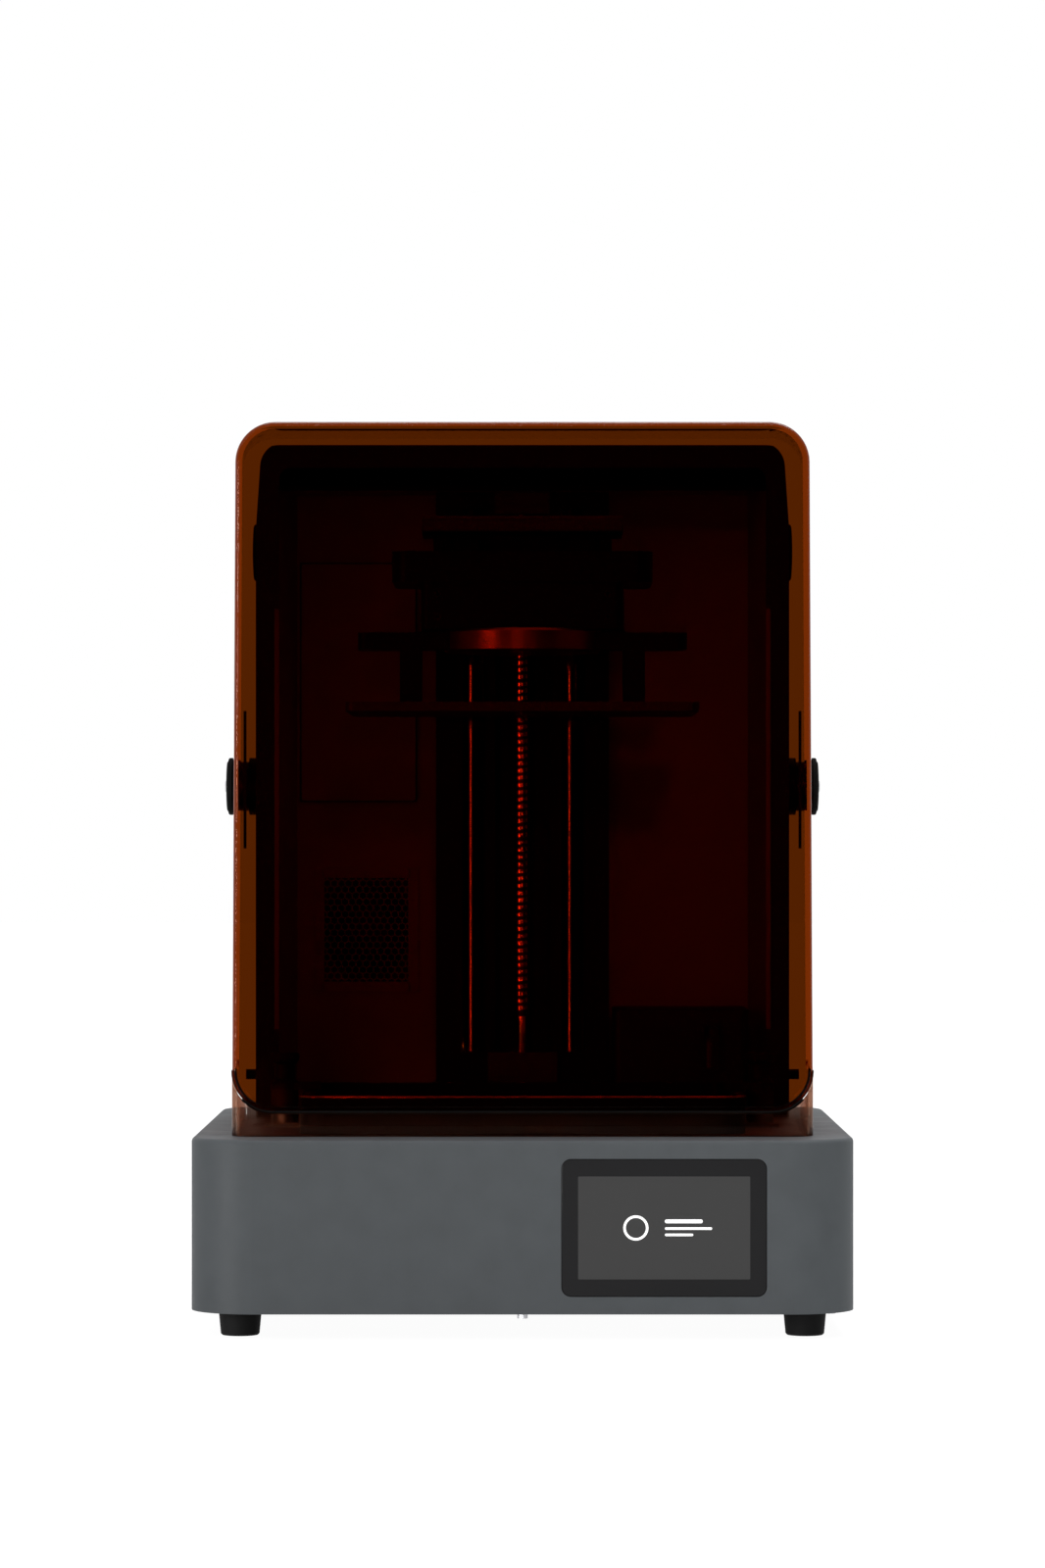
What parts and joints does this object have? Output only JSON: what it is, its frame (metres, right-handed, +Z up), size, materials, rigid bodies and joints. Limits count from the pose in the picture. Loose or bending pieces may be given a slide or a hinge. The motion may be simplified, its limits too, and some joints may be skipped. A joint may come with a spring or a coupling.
{
  "type": "resin printer",
  "caption": "Desktop resin printer with a tinted flip-up hood, a lifting build plate over a resin vat and a touch screen on its rounded base.",
  "frame": {"origin": "on the floor under the middle of the base", "axes": "+Z up, +X to the right seen from the front, +Y to the back"},
  "size_m": [0.426, 0.41, 0.6027],
  "materials": {
    "base_paint": "satin powder coat",
    "dark_metal": "matt black powder coat",
    "rubber": "moulded rubber",
    "steel": "ground steel",
    "aluminium": "machined",
    "black_aluminium": "black anodised",
    "tinted": "clear orange tint",
    "screen_glass": "black glass",
    "clear_glass": "clear glass",
    "film": "thin clear film",
    "black_plastic": "moulded",
    "board": "circuit board",
    "light_plastic": "light trim"
  },
  "bodies": {
    "base": {"air_filter": "black_plastic", "base_housing": "base_paint", "bottom_plate": "dark_metal", "bottom_screws": "steel", "chamber_fan": "black_plastic", "chamber_liner": "base_paint", "clamp_posts": "dark_metal", "display_panel": "black_plastic", "engine_fan": "black_plastic", "engine_housing": "dark_metal", "fan_grille": "dark_metal", "feed_spout": "steel", "feed_unit": "black_plastic", "film_ring": "aluminium", "filter_cover": "base_paint", "guide_rails": "steel", "heatsink": "aluminium", "hinge_flanges": "black_aluminium", "led_board": "board", "lens_plate": "clear_glass", "main_board": "board", "mask_frame": "dark_metal", "mask_screen": "clear_glass", "motor_mount": "dark_metal", "power_inlet": "black_plastic", "power_supply": "aluminium", "rear_housing": "black_plastic", "rear_panel": "dark_metal", "rubber_feet": "rubber", "screen_glass": "screen_glass", "screw_bearings": "black_aluminium", "side_bumpers": "rubber", "sill": "tinted", "stop_pegs": "steel", "switch_frame": "black_plastic", "trim_strips": "light_plastic", "vat_film": "film", "vat_frame": "black_aluminium", "z_column": "black_aluminium", "z_motor": "black_aluminium"},
    "hood": {"hood_shell": "tinted", "hinge_bushes": "steel", "hinge_caps": "black_aluminium", "hinge_plates": "dark_metal"},
    "lift": {"rail_blocks": "steel", "carriage_plate": "black_aluminium", "screw_nut": "steel", "platform_arm": "black_aluminium", "head_block": "black_aluminium", "platform_bridge": "black_aluminium", "platform_joint": "aluminium", "build_plate": "aluminium"},
    "lever": {"lock_lever": "aluminium"},
    "screw": {"ball_screw": "steel", "shaft_coupling": "aluminium"},
    "knob_left": {"clamp_knob_left": "black_plastic"},
    "knob_right": {"clamp_knob_right": "black_plastic"},
    "rocker": {"switch_rocker": "black_plastic"},
    "chamber_fan_wheel": {"chamber_rotor": "black_plastic"},
    "engine_fan_wheel": {"engine_rotor": "black_plastic"}
  },
  "joints": [
    {"name": "hood_hinge", "type": "hinge", "parent": "base", "child": "hood", "pos_m": [0, 0.09, 0.3557], "axis": [-1, 0, 0], "range_deg": [0, 90]},
    {"name": "z_lift", "type": "slide", "parent": "base", "child": "lift", "axis": [0, 0, 1], "range_m": [-0.267, 0]},
    {"name": "screw_spin", "type": "hinge", "parent": "base", "child": "screw", "pos_m": [0, 0.104, 0.3], "axis": [0, 0, 1], "range_deg": [-19224, 0]},
    {"name": "lever_turn", "type": "hinge", "parent": "lift", "child": "lever", "pos_m": [0, -0.02, 0.52752], "axis": [-1, 0, 0], "range_deg": [0, 45]},
    {"name": "knob_left_turn", "type": "hinge", "parent": "base", "child": "knob_left", "pos_m": [-0.158, -0.055, 0.16], "axis": [0, 0, 1], "range_deg": [0, 90]},
    {"name": "knob_right_turn", "type": "hinge", "parent": "base", "child": "knob_right", "pos_m": [0.158, -0.055, 0.16], "axis": [0, 0, -1], "range_deg": [0, 90]},
    {"name": "switch_rock", "type": "hinge", "parent": "base", "child": "rocker", "pos_m": [0.13, 0.1965, 0.066], "axis": [-1, 0, 0], "range_deg": [0, 16]},
    {"name": "chamber_fan_spin", "type": "hinge", "parent": "base", "child": "chamber_fan_wheel", "pos_m": [-0.1095, 0.1471, 0.2555], "axis": [0, 1, 0], "continuous": true},
    {"name": "engine_fan_spin", "type": "hinge", "parent": "base", "child": "engine_fan_wheel", "pos_m": [-0.0756, -0.055, 0.0395], "axis": [1, 0, 0], "continuous": true}
  ],
  "couplings": [
    {"joint": "screw_spin", "follows": "z_lift", "rad_per_m": 1256.6}
  ]
}
